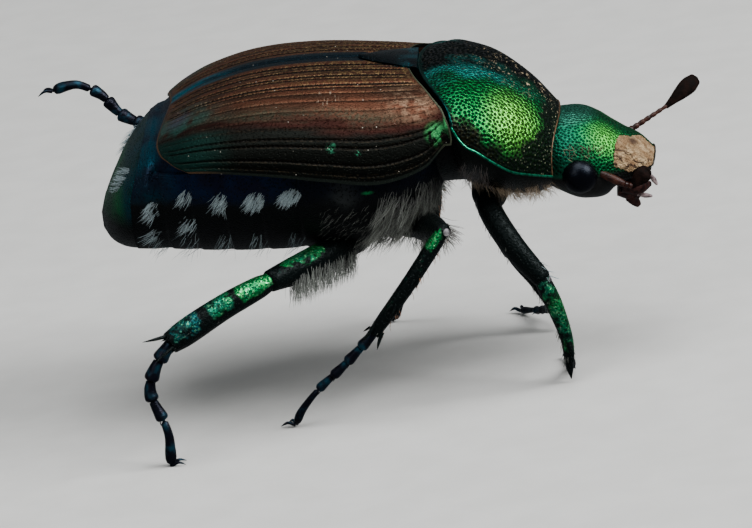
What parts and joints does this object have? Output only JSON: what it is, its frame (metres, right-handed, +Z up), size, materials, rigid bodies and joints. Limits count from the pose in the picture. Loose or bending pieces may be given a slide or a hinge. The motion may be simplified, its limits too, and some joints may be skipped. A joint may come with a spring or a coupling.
{
  "type": "japanese beetle",
  "caption": "Life-size standing Japanese beetle with metallic green thorax, copper wing cases, white flank tufts, and a raised hind leg",
  "frame": {"origin": "bottom centre of the bounding box, at floor level under the middle of the animal", "axes": "+X towards the head, +Y towards the animal's left, +Z up"},
  "size_m": [0.0137, 0.0088, 0.0069],
  "materials": {
    "green_cuticle": "metallic green, densely punctured, satin sheen",
    "blue_green_cuticle": "dark metallic blue green, finely punctured, satin sheen",
    "copper_elytra": "metallic copper brown with rows of punctures, satin sheen",
    "black_cuticle": "black with a faint green metallic sheen",
    "brown_mouth": "dark red brown, smooth, satin sheen",
    "clypeus_crust": "dull tan, granular crust over the front of the head",
    "eye": "black, smooth, glossy"
  },
  "bodies": {
    "root": {"head": "green_cuticle", "clypeus": "clypeus_crust", "mouthparts": "brown_mouth", "palp_left": "brown_mouth", "palp_right": "brown_mouth", "eye_left": "eye", "eye_right": "eye", "antenna_left_stalk": "brown_mouth", "antenna_right_stalk": "brown_mouth", "antenna_left_club": "black_cuticle", "antenna_right_club": "black_cuticle", "prothorax": "green_cuticle", "scutellum": "blue_green_cuticle", "elytron_left": "copper_elytra", "elytron_right": "copper_elytra", "pterothorax": "black_cuticle", "abdomen": "blue_green_cuticle", "pygidium": "blue_green_cuticle", "fore_left_femur": "green_cuticle", "fore_left_tibia": "green_cuticle", "fore_left_tarsus": "black_cuticle", "fore_right_femur": "green_cuticle", "fore_right_tibia": "green_cuticle", "fore_right_tarsus": "black_cuticle", "middle_left_femur": "green_cuticle", "middle_left_tibia": "green_cuticle", "middle_left_tarsus": "black_cuticle", "middle_right_femur": "green_cuticle", "middle_right_tibia": "green_cuticle", "middle_right_tarsus": "black_cuticle", "hind_left_femur": "green_cuticle", "hind_left_tibia": "green_cuticle", "hind_left_tarsus": "black_cuticle", "hind_right_femur": "green_cuticle", "hind_right_tibia": "green_cuticle", "hind_right_tarsus": "black_cuticle"}
  },
  "joints": []
}
